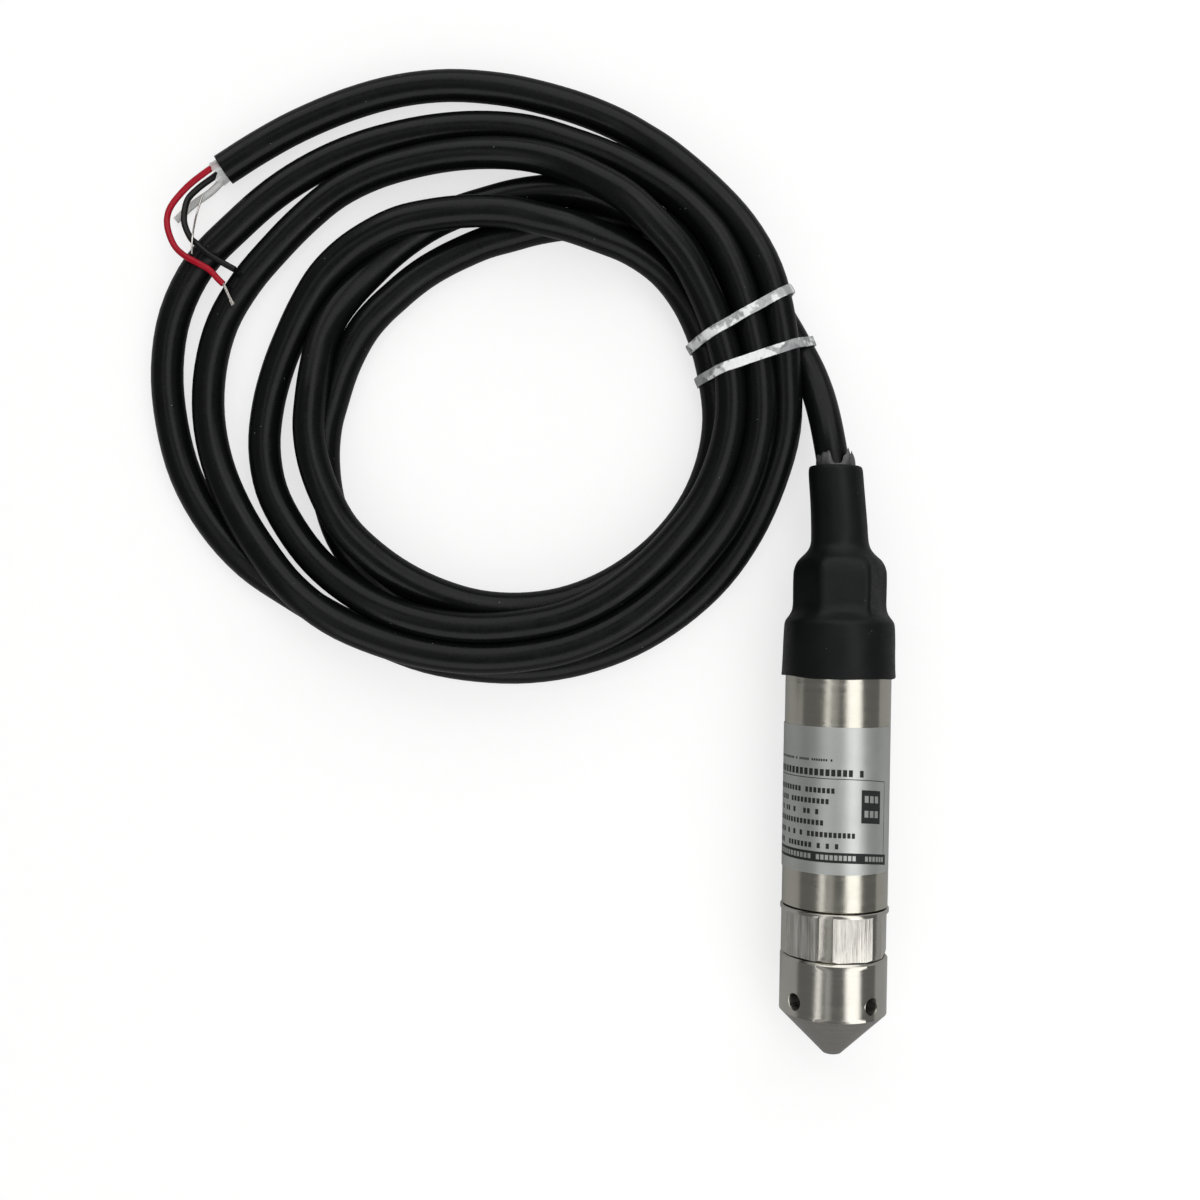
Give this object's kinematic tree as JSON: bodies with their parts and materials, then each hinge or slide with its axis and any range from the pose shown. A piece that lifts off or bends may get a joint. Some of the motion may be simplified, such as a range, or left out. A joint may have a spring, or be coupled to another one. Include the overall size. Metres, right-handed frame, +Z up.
{
  "type": "submersible level transmitter",
  "caption": "Stainless steel submersible level probe with a vented cone-nosed cap, spanner flats, foil label, heat-shrink cable entry and a coiled black vented cable held by tie bands.",
  "frame": {"origin": "under the middle of the probe's length, on the surface that the probe and its coil lie on", "axes": "+Z up; +Y along the probe's axis from the nose towards the cable; +X to the side away from the coil"},
  "size_m": [0.1963, 0.2554, 0.0286],
  "materials": {
    "turned_steel": "turned, fine circumferential marks",
    "capsule_steel": "fine turned",
    "nickel_brass": "nickel plated",
    "label_foil": "satin foil",
    "seal_rubber": "matte",
    "shrink_tube": "satin",
    "cable_jacket": "satin",
    "hot_melt": "cloudy, translucent",
    "tie_plastic": "glossy, slightly crinkled",
    "board": "solder mask",
    "chip_package": "moulded",
    "arrester_ceramic": "glazed ceramic",
    "carrier_plastic": "moulded",
    "pin_gold": "gold plated",
    "core_red": "smooth insulation",
    "core_black": "smooth insulation",
    "vent_tube": "milky, translucent",
    "tinned_copper": "tinned"
  },
  "bodies": {
    "probe": {"sensor_housing": "turned_steel", "body_tube": "turned_steel", "cable_head": "turned_steel", "pressure_capsule": "capsule_steel", "diaphragm": "capsule_steel", "capsule_nut": "capsule_steel", "capsule_vent": "capsule_steel", "filter_capacitor": "capsule_steel", "capsule_o_ring": "seal_rubber", "tube_o_ring_front": "seal_rubber", "tube_o_ring_rear": "seal_rubber", "gland_seal": "seal_rubber", "gland_nut": "nickel_brass", "gland_washer": "nickel_brass", "capsule_pin_1": "pin_gold", "capsule_pin_2": "pin_gold", "capsule_pin_3": "pin_gold", "capsule_pin_4": "pin_gold", "sensor_lead_1": "tinned_copper", "sensor_lead_2": "tinned_copper", "sensor_lead_3": "tinned_copper", "sensor_lead_4": "tinned_copper", "circuit_board": "board", "board_holder_front": "carrier_plastic", "board_holder_rear": "carrier_plastic", "amplifier_chip": "chip_package", "regulator": "chip_package", "surge_arrester": "arrester_ceramic", "inner_red_wire": "core_red", "inner_black_wire": "core_black", "inner_vent_tube": "vent_tube", "label": "label_foil", "heat_shrink_sleeve": "shrink_tube", "sleeve_adhesive": "hot_melt", "cable_lead": "cable_jacket", "cable_coil": "cable_jacket", "cable_tail": "cable_jacket", "tie_lower": "tie_plastic", "tie_upper": "tie_plastic", "red_wire": "core_red", "red_wire_strands": "tinned_copper", "black_wire": "core_black", "vent_tube": "vent_tube", "drain_wire": "tinned_copper"},
    "nose_cap": {"nose_cap": "turned_steel"}
  },
  "joints": [
    {"name": "cap_unscrew", "type": "slide", "parent": "probe", "child": "nose_cap", "axis": [0, -1, 0], "range_m": [0, 0.012]}
  ]
}
